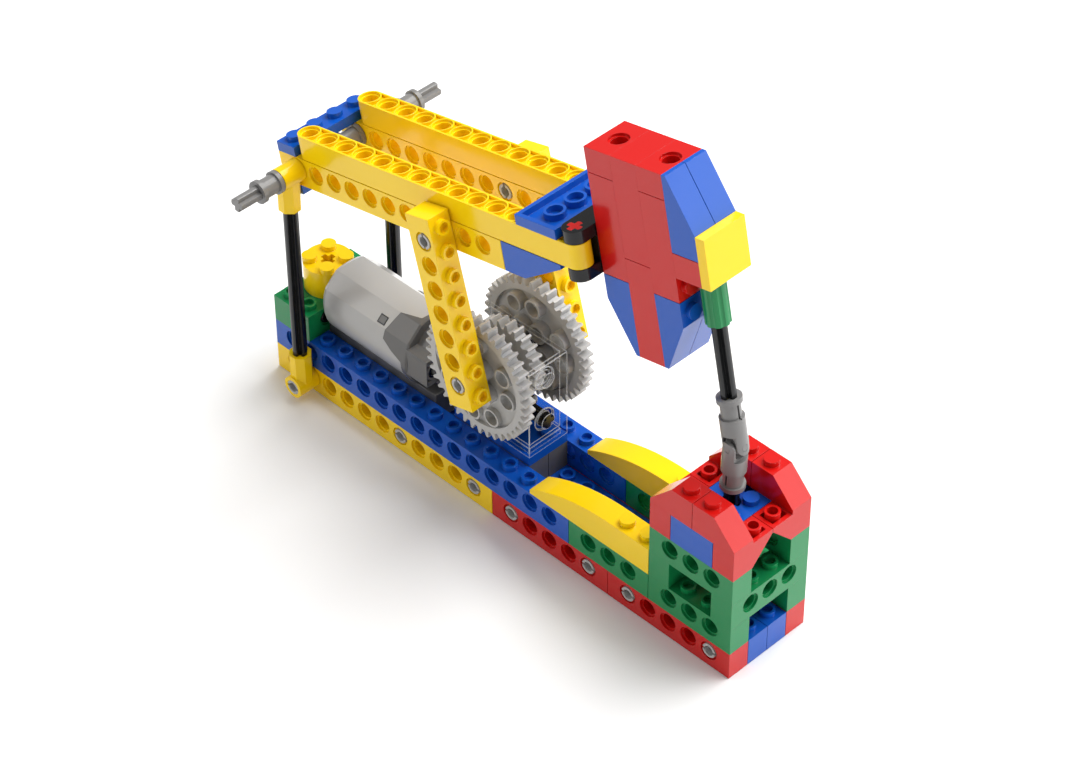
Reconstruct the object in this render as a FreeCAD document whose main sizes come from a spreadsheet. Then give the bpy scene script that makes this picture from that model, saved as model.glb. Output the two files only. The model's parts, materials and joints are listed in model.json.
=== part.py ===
import FreeCAD, Part
import math
import os

from FreeCAD import Placement, Rotation, Vector

# Toy pumpjack built from stud-and-hole building bricks, millimetres.
# Origin: centre of the base's underside. +X runs from the motor end to the well head, +Z is up.

SIZES = {
    # brick system
    "module": 8.0,             # stud pitch
    "plate": 3.2,              # height of a plate
    "brick": 9.6,              # height of a brick
    "gap": 0.1,                # each moulding stands this far inside its grid cell
    "wall": 1.5,               # side wall around a brick's underside socket
    "socket_depth": 1.9,       # underside socket that takes the studs below
    "stud_radius": 2.4,
    "stud_rise": 1.7,
    "stud_bore": 1.6,          # bore of the open studs
    "hole_radius": 2.45,       # cross hole for pins and axles
    "hole_height": 5.6,        # cross hole's centre above a brick's underside
    "sink_radius": 3.1,        # shallow counterbore round each cross hole
    "sink_depth": 0.8,
    "lip": 1.4,                # thin edge of a sloped brick
    "fit": 0.05,               # clearance of an axle or pin in its hole
    # axles, pins, bushes and arms
    "axle_radius": 2.4,
    "axle_arm": 1.8,           # width of one arm of the cross section
    "pin_bore": 1.6,
    "pin_slot": 0.8,
    "bush_radius": 3.7,
    "bush_waist": 3.0,
    "bush_flange": 1.4,
    "arm_width": 7.4,          # width of the round-ended bars
    "ring_radius": 3.55,       # ring round each hole of a round-ended bar
    "pocket_depth": 1.0,       # pockets between the rings
    # base
    "base_studs": 24.0,        # length of the base
    "half_width_studs": 2.0,
    "rear_rail_studs": 12.0,   # yellow part of the lower side rail
    "front_rail_studs": 6.0,   # each red part of the lower side rail
    "upper_rail_studs": 16.0,  # blue part of the upper side rail
    "short_rail_studs": 4.0,   # green parts
    "floor_rear_studs": 8.0,
    "nose_start_stud": 14.0,   # rear tip of the curved bricks
    "nose_studs": 6.0,
    "nose_flat_studs": 2.0,
    # tower (well head)
    "tower_studs": 4.0,
    "rod_hole_radius": 2.9,    # middle hole of the tower's plates
    # motor, worm box and crank
    "motor_radius": 11.8,
    "motor_flat": 11.2,        # distance of the can's flats from its axis
    "motor_start_stud": 2.0,
    "motor_studs": 6.0,
    "motor_can_length": 35.0,
    "motor_nose_radius": 10.6,
    "worm_radius_pitch": 4.0,  # pitch radius of the worm's thread
    "box_start_stud": 9.0,
    "box_studs": 4.0,
    "box_plates": 10.0,        # height of the worm box
    "box_wall": 1.5,
    "crank_plates": 8.0,       # crank axis above the worm box's foot
    "worm_radius": 2.9,
    "worm_length": 15.6,
    "gear_module": 1.0,
    "big_teeth": 40.0,
    "small_teeth": 24.0,
    "addendum": 0.95,
    "dedendum": 1.2,
    "rim_depth": 2.0,
    "gear_face": 4.0,          # width of the toothed rim
    "web": 1.6,
    "crank_angle": 12.5,       # turn of the big gears at rest
    "tube_reach": 1.575,       # outer pin-hole tubes of a big gear, studs from its axis
    "tube_inset": 1.5,         # how far those tubes stop short of the hub's outer face
    # posts, beam and head
    "post_stud": 2.0,          # posts and beam pivot, studs from the rear end
    "post_axle_studs": 8.0,
    "socket_web": 0.4,         # floor between a connector's socket and its axle's end
    "connector_reach": 1.5,    # pin hole's centre to a connector's axle mouth, in studs
    "beam_studs": 12.0,
    "bar_holes": 15.0,
    "arm_studs": 8.0,
    "arm_pin_studs": 8.0,      # beam pivot to the top pins of the crank arms
    "beam_tilt": 11.53,        # nose-up angle of the beam at rest
    "arm_lean": 14.85,         # crank arms' angle from upright at rest
    "head_top_studs": 5.0,     # head's top above the pivot line
    "rod_axle_studs": 5.0,
    "joint_studs": 4.0,        # length of the universal joint
    "joint_radius": 3.7,
    "joint_neck": 3.0,
    "joint_pin": 1.0,
}

doc = FreeCAD.newDocument("pumpjack")
sheet = doc.addObject("Spreadsheet::Sheet", "sizes")
for row, (alias, number) in enumerate(SIZES.items(), start=1):
    sheet.set(f"A{row}", alias)
    sheet.set(f"B{row}", str(number))
    sheet.setAlias(f"B{row}", alias)
doc.recompute()

M = sheet.module
PLATE = sheet.plate
BRICK = sheet.brick
GAP = sheet.gap
MIDDLE = M / 2
Y_AXIS = Rotation(Vector(1, 0, 0), -90)     # turns a Z cylinder to run along +Y
X_AXIS = Rotation(Vector(0, 1, 0), 90)      # turns a Z cylinder to run along +X
UPRIGHT = Rotation()
QUARTER = Rotation(Vector(0, 0, 1), 90)


# ---------------------------------------------------------------- small tools

def place(x=0.0, y=0.0, z=0.0, turn=UPRIGHT):
    return Placement(Vector(x, y, z), turn)


def bind(piece, **expressions):
    """Bind properties of a piece to expressions of the sheet."""
    for name, text in expressions.items():
        piece.setExpression(name, text)
    return piece


def box(name, length, width, height, where=None):
    piece = doc.addObject("Part::Box", name)
    bind(piece, Length=length, Width=width, Height=height)
    piece.Placement = where or place()
    return piece


def cylinder(name, radius, height, where=None):
    piece = doc.addObject("Part::Cylinder", name)
    bind(piece, Radius=radius, Height=height)
    piece.Placement = where or place()
    return piece


def fuse(name, pieces):
    piece = doc.addObject("Part::MultiFuse", name)
    piece.Shapes = pieces
    return piece


def cut(name, base, tool):
    piece = doc.addObject("Part::Cut", name)
    piece.Base = base
    piece.Tool = tool
    return piece


def common(name, first, second):
    piece = doc.addObject("Part::MultiCommon", name)
    piece.Shapes = [first, second]
    return piece


def copies(name, source, places):
    """One linked copy of a piece at each place."""
    if not source.Placement.isIdentity():
        source = compound(name + "_source", [source])
    link = doc.addObject("App::Link", name)
    link.LinkedObject = source
    link.ShowElement = False
    link.ElementCount = len(places)
    link.PlacementList = places
    return link


def compound(name, pieces, where=None):
    piece = doc.addObject("Part::Compound", name)
    piece.Links = pieces
    piece.Placement = where or place()
    return piece


def prism(name, outline, width):
    """Closed outline of (x, z) points, or of edges in the XZ plane, extruded along +Y."""
    profile = doc.addObject("Part::Feature", name + "_outline")
    if isinstance(outline[0], tuple):
        points = [Vector(x, 0, z) for x, z in outline]
        profile.Shape = Part.makePolygon(points + points[:1])
    else:
        profile.Shape = Part.Wire(outline)
    piece = doc.addObject("Part::Extrusion", name)
    piece.Base = profile
    piece.DirMode = "Custom"
    piece.Dir = Vector(0, 1, 0)
    piece.Solid = True
    bind(piece, LengthFwd=width)
    return piece


NODES = {}


def node(name, pieces, where=None):
    """Name a finished sub-part. Its solids are like pieces of one colour on one body."""
    part = compound("node_" + name, pieces, where)
    part.Label = name
    NODES[name] = part
    return part


# ---------------------------------------------------------------- shared mouldings

stud_solid = cylinder("stud_solid", "sizes.stud_radius", "sizes.stud_rise")
stud_open = cut("stud_open",
                cylinder("stud_outer", "sizes.stud_radius", "sizes.stud_rise"),
                cylinder("stud_inner", "sizes.stud_bore", "sizes.stud_rise + 1"))


def cross_hole(name, length):
    """Cutter of one cross hole along Y, centred on the origin, with its two counterbores."""
    sink = "sizes.sink_depth + 1"
    return fuse(name, [
        cylinder(name + "_bore", "sizes.hole_radius", f"{length + 2}", place(0, -length / 2 - 1, 0, Y_AXIS)),
        cylinder(name + "_sink_a", "sizes.sink_radius", sink, place(0, -length / 2 - 1, 0, Y_AXIS)),
        cylinder(name + "_sink_b", "sizes.sink_radius", sink,
                 place(0, length / 2 - sheet.sink_depth, 0, Y_AXIS))])


hole_cutter = cross_hole("hole_cutter", M - 2 * GAP)
MOULDS = {}


def grid(count_x, count_y=1, z=0.0):
    """Stud centres of a brick that starts at the origin."""
    return [place((i + 0.5) * M, (j + 0.5) * M, z) for i in range(count_x) for j in range(count_y)]


def block(name, studs_x, studs_y, height, top=None, stud=None):
    """Rectangular brick or plate with an underside socket and studs at the listed places."""
    body = box(name + "_body", f"{studs_x} * sizes.module - 2 * sizes.gap",
               f"{studs_y} * sizes.module - 2 * sizes.gap", height, place(GAP, GAP))
    socket = box(name + "_socket", f"{studs_x} * sizes.module - 2 * sizes.wall",
                 f"{studs_y} * sizes.module - 2 * sizes.wall", "sizes.socket_depth",
                 place(sheet.wall, sheet.wall))
    hollow = cut(name + "_hollow", body, socket)
    if top is None:
        return hollow
    return fuse(name + "_studded", [hollow, copies(name + "_studs", stud or stud_solid, top)])


def hole_brick(studs):
    """One-wide brick along X with open studs and a cross hole between each two studs."""
    name = f"hole_brick_{studs}"
    if name in MOULDS:
        return MOULDS[name]
    brick = block(name, studs, 1, "sizes.brick", grid(studs, 1, BRICK), stud_open)
    holes = copies(name + "_holes", hole_cutter,
                   [place((i + 1) * M, MIDDLE, sheet.hole_height) for i in range(studs - 1)])
    MOULDS[name] = cut(name, brick, holes)
    return MOULDS[name]


def cross_bar(name, length, grow=0.0):
    """Cross-section bar along +Z: the axle, or with grow the hole that takes it."""
    radius = sheet.axle_radius + grow
    across = sheet.axle_arm + 2 * grow
    arms = fuse(name + "_arms", [
        box(name + "_arm_x", f"2 * sizes.axle_radius + {2 * grow}", f"sizes.axle_arm + {2 * grow}",
            f"{length}", place(-radius, -across / 2)),
        box(name + "_arm_y", f"sizes.axle_arm + {2 * grow}", f"2 * sizes.axle_radius + {2 * grow}",
            f"{length}", place(-across / 2, -radius))])
    round_bar = cylinder(name + "_round", f"sizes.axle_radius + {grow}", f"{length}")
    return common(name, arms, round_bar)


def pin(name, length):
    """Connector pin along +Y from the origin: a tube with a slot at each end."""
    slot = 1.6
    tube = cut(name + "_tube", cylinder(name + "_outer", "sizes.axle_radius", f"{length}", place(turn=Y_AXIS)),
               cylinder(name + "_inner", "sizes.pin_bore", f"{length + 2}", place(0, -1, 0, Y_AXIS)))
    core = cylinder(name + "_core", "sizes.pin_bore", f"{length - 2 * slot - 1}", place(0, slot + 0.5, 0, Y_AXIS))
    slots = copies(name + "_slots",
                   box(name + "_slot", "2 * sizes.hole_radius", f"{slot}", "sizes.pin_slot"),
                   [place(-sheet.hole_radius, -0.001, -sheet.pin_slot / 2),
                    place(-sheet.hole_radius, length - slot + 0.001, -sheet.pin_slot / 2)])
    return cut(name, fuse(name + "_solid", [tube, core]), slots)


def bush(name):
    """Bush along +Y, one module long: two flanges, a waist and a cross hole."""
    length = M - 2 * GAP
    flange = cylinder(name + "_flange", "sizes.bush_radius", "sizes.bush_flange", place(turn=Y_AXIS))
    rings = copies(name + "_flanges", flange, [place(0, GAP, 0), place(0, M - GAP - sheet.bush_flange, 0)])
    waist = cylinder(name + "_waist_body", "sizes.bush_waist", f"{length}", place(0, GAP, 0, Y_AXIS))
    hole = copies(name + "_hole", axle_cutter, [place(0, -1, 0, Y_AXIS)])
    return cut(name, fuse(name + "_body", [waist, rings]), hole)


axle_cutter = cross_bar("axle_cutter", 200, sheet.fit)


# ---------------------------------------------------------------- sloped bricks

def slope(name, studs, width_studs, flat_studs=1, inverted=False):
    """Sloped brick along +X. The full-height end is at x = 0, the thin edge at the far end."""
    length = studs * M - GAP
    flat = flat_studs * M
    low = sheet.lip
    outline = [(GAP, 0.0), (length, 0.0), (length, low), (flat, BRICK), (GAP, BRICK)]
    if inverted:
        outline = [(x, BRICK - z) for x, z in outline]
    body = prism(name + "_body", outline, f"{width_studs} * sizes.module - 2 * sizes.gap")
    body.Placement = place(0, GAP, 0)
    if inverted:
        return inverted_top(name, body, studs, width_studs, flat_studs)
    socket = box(name + "_socket", f"{studs} * sizes.module - 2 * sizes.wall",
                 f"{width_studs} * sizes.module - 2 * sizes.wall", "sizes.socket_depth",
                 place(sheet.wall, sheet.wall))
    studs_on_top = copies(name + "_studs", stud_solid, grid(flat_studs, width_studs, BRICK))
    return fuse(name, [cut(name + "_hollow", body, socket), studs_on_top])


def inverted_top(name, body, studs, width_studs, flat_studs):
    """Studs, underside socket and the open tray above the overhang of an inverted slope."""
    socket = box(name + "_socket", f"{flat_studs} * sizes.module - 2 * sizes.wall",
                 f"{width_studs} * sizes.module - 2 * sizes.wall", "sizes.socket_depth",
                 place(sheet.wall, sheet.wall))
    depth = 0.8 * (BRICK - sheet.lip) / (studs - flat_studs)
    inner = flat_studs * M + 0.6
    tray_length = M - 2.0
    tray = box(name + "_tray", f"{tray_length}", f"{width_studs} * sizes.module - 2 * sizes.wall",
               f"{min(depth, 3.0)}", place(inner, sheet.wall, BRICK - min(depth, 3.0)))
    flat_grid = grid(flat_studs, width_studs, BRICK)
    over_grid = [place((flat_studs + 0.5) * M, (j + 0.5) * M, BRICK - 3.2) for j in range(width_studs)]
    tall_stud = cut(name + "_tall_stud",
                    cylinder(name + "_tall_outer", "sizes.stud_radius", "sizes.stud_rise + 3.2"),
                    cylinder(name + "_tall_inner", "sizes.stud_bore", "sizes.stud_rise + 3.2",
                             place(0, 0, 1.0)))
    hollow = cut(name + "_hollow", cut(name + "_solid", body, socket), tray)
    return fuse(name, [hollow, copies(name + "_studs", stud_solid, flat_grid),
                       copies(name + "_open_studs", tall_stud, over_grid)])


slope_45 = slope("slope_45", 2, 1)
slope_33 = slope("slope_33", 3, 1)
inverted_45 = slope("inverted_45", 2, 1, inverted=True)
inverted_33 = slope("inverted_33", 3, 1, inverted=True)
inverted_33_wide = slope("inverted_33_wide", 3, 2, inverted=True)


def curved_brick():
    """One-wide brick whose top curves down to a thin tip at x = 0 and is flat at the far end."""
    length = sheet.nose_studs * M
    run = (sheet.nose_studs - sheet.nose_flat_studs) * M
    rise = BRICK - sheet.lip
    radius = (run ** 2 + rise ** 2) / (2 * rise)
    centre = Vector(run, 0, BRICK - radius)

    def on_arc(x):
        return Vector(x, 0, centre.z + math.sqrt(radius ** 2 - (run - x) ** 2))

    tip, crest = on_arc(GAP), on_arc(run)
    foot, heel = Vector(GAP, 0, 0), Vector(length - GAP, 0, 0)
    shoulder = Vector(length - GAP, 0, BRICK)
    edges = [Part.LineSegment(foot, tip).toShape(),
             Part.Arc(tip, on_arc(run / 2), crest).toShape(),
             Part.LineSegment(crest, shoulder).toShape(),
             Part.LineSegment(shoulder, heel).toShape(),
             Part.LineSegment(heel, foot).toShape()]
    body = prism("curved_body", edges, "sizes.module - 2 * sizes.gap")
    body.Placement = place(0, GAP, 0)
    cover = int(sheet.nose_flat_studs)
    socket = box("curved_socket", "(sizes.nose_studs - 2) * sizes.module - sizes.wall",
                 "sizes.module - 2 * sizes.wall", "sizes.socket_depth", place(2 * M, sheet.wall))
    first = int(sheet.nose_studs) - cover
    top = [place((first + i + 0.5) * M, MIDDLE, BRICK) for i in range(cover)]
    sockets = copies("curved_stud_sockets",
                     cylinder("curved_stud_socket", "sizes.stud_radius + 2 * sizes.fit", "sizes.socket_depth"),
                     [place((i + 0.5) * M, MIDDLE, -0.001) for i in range(2)])
    hollow = cut("curved_hollow", cut("curved_solid", body, socket), sockets)
    return fuse("curved_brick", [hollow, copies("curved_studs", stud_solid, top)])


# ---------------------------------------------------------------- round-ended bar

def round_bar(name, holes):
    """Bar along +X with round ends and holes through it along Z. First hole at x = 4."""
    width, thick = sheet.arm_width, M - 2 * GAP
    span = (holes - 1) * M
    ends = copies(name + "_ends", cylinder(name + "_end", "sizes.arm_width / 2", f"{thick}"),
                  [place(MIDDLE, MIDDLE, GAP), place(MIDDLE + span, MIDDLE, GAP)])
    middle = box(name + "_middle", f"{span}", "sizes.arm_width", f"{thick}",
                 place(MIDDLE, (M - width) / 2, GAP))
    centres = [place(MIDDLE + i * M, MIDDLE, 0) for i in range(holes)]
    bores = copies(name + "_bores", cylinder(name + "_bore", "sizes.hole_radius", f"{M + 2}", place(0, 0, -1)),
                   centres)
    sink = cylinder(name + "_sink", "sizes.sink_radius", "sizes.sink_depth + 1")
    sinks = copies(name + "_sinks", sink,
                   [place(p.Base.x, p.Base.y, z) for p in centres
                    for z in (GAP - 1, M - GAP - sheet.sink_depth)])
    strip = box(name + "_strip", f"{span}", "sizes.arm_width - 1.2", "sizes.pocket_depth + 1",
                place(MIDDLE, (M - width) / 2 + 0.6, M - GAP - sheet.pocket_depth))
    rings = copies(name + "_rings", cylinder(name + "_ring", "sizes.ring_radius", f"{M + 2}", place(0, 0, -1)),
                   centres)
    pockets = cut(name + "_pockets", strip, rings)
    bar = fuse(name + "_outline", [middle, ends])
    for suffix, tool in (("_pocketed", pockets), ("_sunk", sinks), ("_bored", bores)):
        bar = cut(name + suffix, bar, tool)
    return bar


# ---------------------------------------------------------------- gears

def toothed_wheel(name, teeth, width):
    """Spur blank along +Y, centred on the origin, with straight-sided teeth."""
    pitch = sheet.gear_module * teeth / 2
    tip, root = pitch + sheet.addendum, pitch - sheet.dedendum
    step = 2 * math.pi / teeth
    outline = []
    for i in range(int(teeth)):
        for radius, part in ((root, -0.33), (tip, -0.11), (tip, 0.11), (root, 0.33)):
            angle = (i + part) * step
            outline.append((radius * math.cos(angle), radius * math.sin(angle)))
    wheel = prism(name, outline, f"{width}")
    wheel.Placement = place(0, -width / 2, 0)
    return wheel


def tube_ring(name, radius, length, places, inset=0.0):
    tube = cylinder(name + "_tube", radius, f"{length - inset}", place(0, inset - length / 2, 0, Y_AXIS))
    return copies(name, tube, places)


def big_gear():
    """40-tooth gear along Y: toothed rim, thin web, pin-hole tubes and ribs."""
    teeth = sheet.big_teeth
    face, hub = sheet.gear_face, M - 2 * GAP
    rim_inner = sheet.gear_module * teeth / 2 - sheet.dedendum - sheet.rim_depth
    wheel = toothed_wheel("big_wheel", teeth, face)
    hollows = copies("big_hollows", cylinder("big_hollow", f"{rim_inner}", f"{face}", place(0, 0, 0, Y_AXIS)),
                     [place(0, sheet.web / 2, 0), place(0, -face - sheet.web / 2, 0)])
    half = M / 2
    reach = sheet.tube_reach * M
    outer = [(a * reach, b * half) for a in (1, -1) for b in (1, -1)]
    outer += [(b, a) for a, b in outer]
    inner = [(a * half, b * half) for a in (1, -1) for b in (1, -1)]
    spots = [place(x, 0, z) for x, z in outer]
    inner_spots = [place(x, 0, z) for x, z in inner]
    tubes = tube_ring("big_outer_tubes", "sizes.sink_radius", hub, spots, sheet.tube_inset)
    inner_tubes = tube_ring("big_inner_tubes", "sizes.sink_radius + 0.2", hub, inner_spots)
    core = cylinder("big_core", "sizes.ring_radius + 0.4", f"{hub}", place(0, -hub / 2, 0, Y_AXIS))
    rib = box("big_rib", f"{2 * rim_inner + 1}", "sizes.gear_face - 1", "1.0",
              place(-rim_inner - 0.5, -(face - 1) / 2, -0.5))
    ribs = copies("big_ribs", rib, [place(turn=Rotation(Vector(0, 1, 0), a)) for a in (45, 135)])
    body = fuse("big_body", [cut("big_rim", wheel, hollows), tubes, inner_tubes, core, ribs])
    bores = tube_ring("big_bores", "sizes.hole_radius", M + 2, spots + inner_spots)
    drilled = cut("big_drilled", body, bores)
    return cut("big_gear", drilled, copies("big_axle_hole", axle_cutter, [place(0, -M, 0, Y_AXIS)]))


def small_gear():
    """24-tooth gear along Y with a one-module hub."""
    hub = M - 2 * GAP
    wheel = toothed_wheel("small_wheel", sheet.small_teeth, sheet.gear_face)
    core = cylinder("small_core", "sizes.ring_radius + 0.4", f"{hub}", place(0, -hub / 2, 0, Y_AXIS))
    body = fuse("small_body", [wheel, core])
    return cut("small_gear", body, copies("small_axle_hole", axle_cutter, [place(0, -M, 0, Y_AXIS)]))


# ---------------------------------------------------------------- base

def stud_x(column):
    """X of a grid line counted in studs from the rear end of the base."""
    return (column - sheet.base_studs / 2) * M


def level(plates):
    return plates * PLATE


NEAR, FAR = -sheet.half_width_studs * M, (sheet.half_width_studs - 1) * M
SIDES = (NEAR, FAR)


def base():
    rear, front = int(sheet.rear_rail_studs), int(sheet.front_rail_studs)
    upper, short = int(sheet.upper_rail_studs), int(sheet.short_rail_studs)
    node("lower_rear_rails", [copies("rear_rail_pair", hole_brick(rear),
                                     [place(stud_x(0), y) for y in SIDES])])
    node("lower_front_rails", [copies("front_rail_set", hole_brick(front),
                                      [place(stud_x(c), y) for y in SIDES for c in (rear, rear + front)])])
    split = int(sheet.floor_rear_studs)
    long_floor = int(sheet.base_studs) - split
    floor_rows = (-M, 0.0)
    node("floor_bricks", [
        copies("floor_rear", hole_brick(split), [place(stud_x(0), y) for y in floor_rows]),
        copies("floor_front", hole_brick(long_floor), [place(stud_x(split), y) for y in floor_rows])])
    node("upper_side_rails", [copies("upper_rail_pair", hole_brick(upper),
                                     [place(stud_x(0), y, level(3)) for y in SIDES])])
    tower = int(sheet.base_studs - sheet.tower_studs)
    spots = [place(stud_x(c), y, level(z)) for y in SIDES for c, z in ((upper, 3), (tower, 3), (tower, 9))]
    node("green_side_bricks", [copies("green_side_set", hole_brick(short), spots)])
    node("rear_cross_bricks", [copies("rear_cross_pair", hole_brick(short),
                                      [place(stud_x(c + 1), NEAR, level(6), QUARTER) for c in (0, 1)])])
    node("curved_side_bricks", [copies("curved_pair", curved_brick(),
                                       [place(stud_x(sheet.nose_start_stud), y, level(6)) for y in SIDES])])
    cap()


def cap():
    """Round 2 x 2 brick on the rear cross bricks, with a cross hole down its middle."""
    body = cylinder("cap_body", "sizes.module - sizes.gap", "sizes.brick")
    top = [place(x, y, BRICK) for x in (-MIDDLE, MIDDLE) for y in (-MIDDLE, MIDDLE)]
    studded = fuse("cap_studded", [body, copies("cap_studs", stud_solid, top)])
    socket = cylinder("cap_socket", "sizes.stud_radius + sizes.fit", "sizes.socket_depth")
    hollow = cut("cap_hollow", studded, copies("cap_sockets", socket, [place(p.Base.x, p.Base.y) for p in top]))
    hole = copies("cap_hole", axle_cutter, [place(0, 0, -1)])
    brick = cut("cap_brick", hollow, hole)
    node("rear_cap_brick", [brick], place(stud_x(1), 0, level(9)))


def side_pins():
    """Grey pins that join the lower rails to the floor bricks, and those of the post feet."""
    long_pin = pin("long_pin", 2 * M - 2 * GAP)
    columns = (7, 11, 13, 17, 19, 23)
    spots = [place(stud_x(c), y, sheet.hole_height) for c in columns for y in (NEAR + GAP, GAP)]
    post = stud_x(sheet.post_stud)
    spots += [place(post, y, sheet.hole_height) for y in (NEAR - M + GAP, M + GAP)]
    node("side_pins", [copies("side_pin_set", long_pin, spots)])
    return long_pin


# ---------------------------------------------------------------- tower

def tower():
    start = sheet.base_studs - sheet.tower_studs
    short = int(sheet.short_rail_studs)
    node("tower_cross_bricks", [copies("tower_cross_pair", hole_brick(short),
                                       [place(stud_x(start + c), NEAR, level(6), QUARTER) for c in (1, 4)])])
    half_turn = Rotation(Vector(0, 0, 1), 180)
    back = Rotation(Vector(0, 0, 1), -90)
    low, high = level(12), level(15)
    node("tower_inverted_slopes", [copies("tower_inverted_set", inverted_45, [
        place(stud_x(start + 1), NEAR, low, QUARTER), place(stud_x(start + 4), NEAR, low, QUARTER),
        place(stud_x(start), -NEAR, low, back), place(stud_x(start + 3), -NEAR, low, back)])])
    deck = plate_with_holes("tower_plate", 2, 4)
    at = [place(stud_x(start + 1), NEAR, low + i * PLATE) for i in range(3)]
    node("tower_outer_plates", [copies("tower_outer_pair", deck, [at[0], at[2]])])
    node("tower_middle_plate", [copies("tower_middle", deck, [at[1]])])
    middle = stud_x(start + 2)
    node("tower_slopes", [copies("tower_slope_set", slope_45, [
        place(middle, y, high) for y in SIDES] + [place(middle, y + M, high, half_turn) for y in SIDES])])


def plate_with_holes(name, studs_x, studs_y):
    """Plate with round holes between its studs; the middle one lets the rod swing."""
    plate = block(name, studs_x, studs_y, "sizes.plate", grid(studs_x, studs_y, PLATE), stud_solid)
    side = cylinder(name + "_side_hole", "sizes.hole_radius", "sizes.plate + 2", place(0, 0, -1))
    rod = cylinder(name + "_rod_hole", "sizes.rod_hole_radius", "sizes.plate + 2", place(0, 0, -1))
    centre = studs_y * M / 2
    sides = copies(name + "_side_holes", side, [place(M, centre + dy, 0) for dy in (-M, M)])
    drilled = cut(name + "_drilled", plate, sides)
    return cut(name + "_bored", drilled, copies(name + "_rod_bore", rod, [place(M, centre, 0)]))


# ---------------------------------------------------------------- motor, worm box and crank

def crank_x():
    return stud_x(sheet.box_start_stud + sheet.box_studs / 2)


def box_foot():
    return level(7)


def crank_z():
    return box_foot() + level(sheet.crank_plates)


def worm_z():
    return crank_z() - sheet.gear_module * sheet.small_teeth / 2 - sheet.worm_radius_pitch


def motor():
    start = stud_x(sheet.motor_start_stud) + GAP
    length = sheet.motor_studs * M - 2 * GAP
    can_length = sheet.motor_can_length
    axis = worm_z()
    can = cylinder("motor_round", "sizes.motor_radius", "sizes.motor_can_length", place(start, 0, axis, X_AXIS))
    flats = []
    for i, angle in enumerate((40, 90, 140, 180, 0)):
        side = box(f"motor_flat_{i}", "sizes.motor_can_length + 2", "2 * sizes.motor_radius",
                   "sizes.motor_radius",
                   place(start - 1, -sheet.motor_radius, sheet.motor_flat))
        turn = Rotation(Vector(1, 0, 0), angle - 90)
        flats.append(copies(f"motor_flat_copy_{i}", side, [place(0, 0, axis, turn)]))
    body = can
    for i, flat in enumerate(flats):
        body = cut(f"motor_can_{i}", body, flat)
    foot_top = level(6) + 1.2
    notch = box("motor_notch", "sizes.motor_can_length + 2", f"{2 * M}", f"{foot_top - axis + 20}",
                place(start - 1, -M, axis - 20))
    node("motor_can", [cut("motor_can_body", body, notch)])
    nose_start = start + can_length
    nose_length = length - can_length
    nose = cylinder("motor_nose_round", "sizes.motor_nose_radius", f"{nose_length}",
                    place(nose_start, 0, axis, X_AXIS))
    foot = box("motor_foot", "sizes.motor_studs * sizes.module - 2 * sizes.gap",
               "2 * sizes.module - 2 * sizes.gap", f"{foot_top - level(3)}",
               place(start, -M + GAP, level(3)))
    foot_socket = box("motor_foot_socket", "sizes.motor_studs * sizes.module - 2 * sizes.wall",
                      "2 * sizes.module - 2 * sizes.wall", "sizes.socket_depth",
                      place(start + sheet.wall, -M + sheet.wall, level(3)))
    pin_hole = cylinder("motor_pin_hole", "sizes.hole_radius", "sizes.module", place(turn=X_AXIS))
    mouths = copies("motor_pin_holes", pin_hole,
                    [place(start + length - M + 0.5, y, axis) for y in (-M, M)])
    output = cylinder("motor_output", "sizes.hole_radius + 0.1", "sizes.module",
                      place(start + length - M + 0.5, 0, axis, X_AXIS))
    front = fuse("motor_front_solid", [nose, foot])
    for suffix, tool in (("_foot", foot_socket), ("_holes", mouths), ("_output", output)):
        front = cut("motor_front" + suffix, front, tool)
    node("motor_front", [front])


def worm_box():
    first, studs = sheet.box_start_stud, int(sheet.box_studs)
    node("riser_bricks", [copies("riser_pair", hole_brick(studs),
                                 [place(stud_x(first), y, level(3)) for y in (-M, 0.0)])])
    deck = block("box_plate", studs, 2, "sizes.plate", grid(studs, 2, PLATE), stud_solid)
    node("box_plate", [deck], place(stud_x(first), -M, level(6)))
    start = stud_x(first)
    wall = sheet.box_wall
    foot = box_foot()
    outer = box("box_outer", "sizes.box_studs * sizes.module - 2 * sizes.gap",
                "2 * sizes.module - 2 * sizes.gap", "sizes.box_plates * sizes.plate", place(start + GAP, -M + GAP, foot))
    inner = box("box_inner", "sizes.box_studs * sizes.module - 2 * sizes.gap - 2 * sizes.box_wall",
                "2 * sizes.module - 2 * sizes.gap - 2 * sizes.box_wall", "sizes.box_plates * sizes.plate",
                place(start + GAP + wall, -M + GAP + wall, foot + 1.2 + sheet.socket_depth))
    socket = box("box_socket", "sizes.box_studs * sizes.module - 2 * sizes.wall",
                 "2 * sizes.module - 2 * sizes.wall", "sizes.socket_depth",
                 place(start + sheet.wall, -M + sheet.wall, foot))
    ring = cylinder("box_ring", "sizes.bush_radius", f"{sheet.box_wall + 0.6}", place(turn=X_AXIS))
    end_x = start + sheet.box_studs * M - GAP - wall - 0.6
    rings = copies("box_rings", ring, [place(x, 0, z) for x in (start + GAP, end_x)
                                       for z in (crank_z(), worm_z())])
    shaft_hole = cylinder("box_shaft_hole", "sizes.hole_radius", "sizes.box_studs * sizes.module + 2",
                          place(start - 1, 0, 0, X_AXIS))
    shaft_holes = copies("box_shaft_holes", shaft_hole, [place(0, 0, z) for z in (crank_z(), worm_z())])
    axle_hole = cylinder("box_axle_hole", "sizes.hole_radius", "2 * sizes.module + 2",
                         place(crank_x(), -M - 1, crank_z(), Y_AXIS))
    shell = cut("box_shell", outer, inner)
    shell = fuse("box_ringed", [shell, rings])
    for suffix, tool in (("_open", socket), ("_shaft", shaft_holes), ("_axle", axle_hole)):
        shell = cut("box_shell" + suffix, shell, tool)
    node("worm_box", [shell])


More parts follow.
